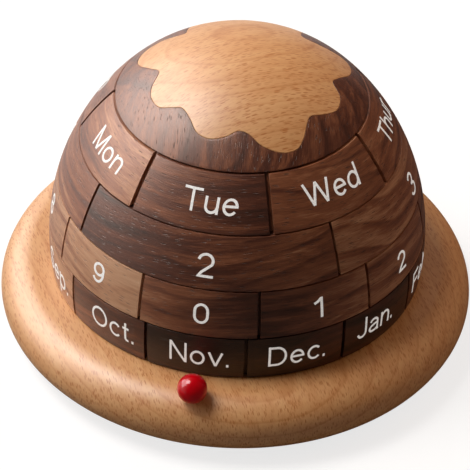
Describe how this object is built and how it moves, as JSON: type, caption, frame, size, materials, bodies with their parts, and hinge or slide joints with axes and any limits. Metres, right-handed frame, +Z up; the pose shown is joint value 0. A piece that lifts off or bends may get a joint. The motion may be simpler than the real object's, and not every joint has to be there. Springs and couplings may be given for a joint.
{
  "type": "perpetual desk calendar",
  "caption": "Wooden dome desk calendar: four rings for month, date and weekday turn on a post in a round base, read against a ball pointer.",
  "frame": {"origin": "on the surface that the calendar stands on, below the post's axis", "axes": "+Z up along the post, the ball pointer at -Y, +X to the right of a reader who faces the pointer"},
  "size_m": [0.125, 0.125, 0.0821],
  "materials": {
    "beech": "turned, sanded and satin-oiled beech",
    "walnut": "turned, sanded and satin-oiled walnut",
    "red_lacquer": "wooden bead under glossy red lacquer",
    "white_paint": "screen-printed white paint on the ring tiles",
    "felt": "pressed felt",
    "nylon": "natural nylon",
    "zinc_steel": "zinc-plated steel"
  },
  "bodies": {
    "base": {"base": "beech", "foot_pads": "felt", "base_screw": "zinc_steel", "base_screw_washer": "zinc_steel", "post": "beech", "pointer_pin": "zinc_steel", "pointer_ball": "red_lacquer", "washer_under_months": "nylon", "crown": "walnut", "crown_screw_washer": "zinc_steel", "crown_screw": "zinc_steel", "crown_inlay": "beech"},
    "month_ring": {"month_ring": "walnut", "washer_under_units": "nylon"},
    "units_ring": {"units_ring": "walnut", "washer_under_tens": "nylon"},
    "tens_ring": {"tens_ring": "walnut", "washer_under_weekdays": "nylon"},
    "weekday_ring": {"weekday_ring": "walnut", "washer_under_crown": "nylon"}
  },
  "joints": [
    {"name": "month_turn", "type": "hinge", "parent": "base", "child": "month_ring", "pos_m": [0, 0, 0.0236], "axis": [0, 0, 1], "continuous": true},
    {"name": "units_turn", "type": "hinge", "parent": "base", "child": "units_ring", "pos_m": [0, 0, 0.0366], "axis": [0, 0, 1], "continuous": true},
    {"name": "tens_turn", "type": "hinge", "parent": "base", "child": "tens_ring", "pos_m": [0, 0, 0.0496], "axis": [0, 0, 1], "continuous": true},
    {"name": "weekday_turn", "type": "hinge", "parent": "base", "child": "weekday_ring", "pos_m": [0, 0, 0.0621], "axis": [0, 0, 1], "continuous": true}
  ]
}
